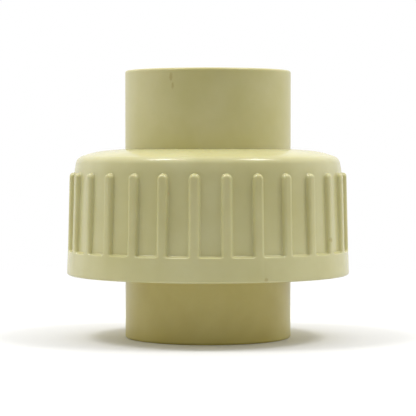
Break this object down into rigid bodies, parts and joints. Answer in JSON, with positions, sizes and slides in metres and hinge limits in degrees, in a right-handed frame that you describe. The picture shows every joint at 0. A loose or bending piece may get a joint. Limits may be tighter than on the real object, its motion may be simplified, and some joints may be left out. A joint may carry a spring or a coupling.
{
  "type": "pipe union",
  "caption": "Moulded plastic pipe union: two solvent-weld pipe sockets drawn together on a face seal by a ribbed union nut.",
  "frame": {"origin": "centre of the lower socket's rim, at the bottom of the union as it stands", "axes": "+Z along the pipe line, from the threaded end to the tail piece; -Y faces the viewer"},
  "size_m": [0.0598, 0.0598, 0.0564],
  "materials": {
    "cream_plastic": "moulded CPVC, cream, semi-gloss",
    "seal_rubber": "moulded EPDM, black, matt"
  },
  "bodies": {
    "threaded_half": {"threaded_end": "cream_plastic", "face_seal": "seal_rubber"},
    "tail": {"tail_piece": "cream_plastic"},
    "nut": {"union_nut": "cream_plastic"}
  },
  "joints": [
    {"name": "tail_lift", "type": "slide", "parent": "threaded_half", "child": "tail", "axis": [0, 0, 1], "range_m": [0, 0.01801]},
    {"name": "nut_turn", "type": "hinge", "parent": "tail", "child": "nut", "pos_m": [0, 0, 0.03], "axis": [0, 0, 1], "range_deg": [0, 2160]}
  ],
  "couplings": [
    {"joint": "tail_lift", "follows": "nut_turn", "m_per_rad": 0.00047746}
  ]
}
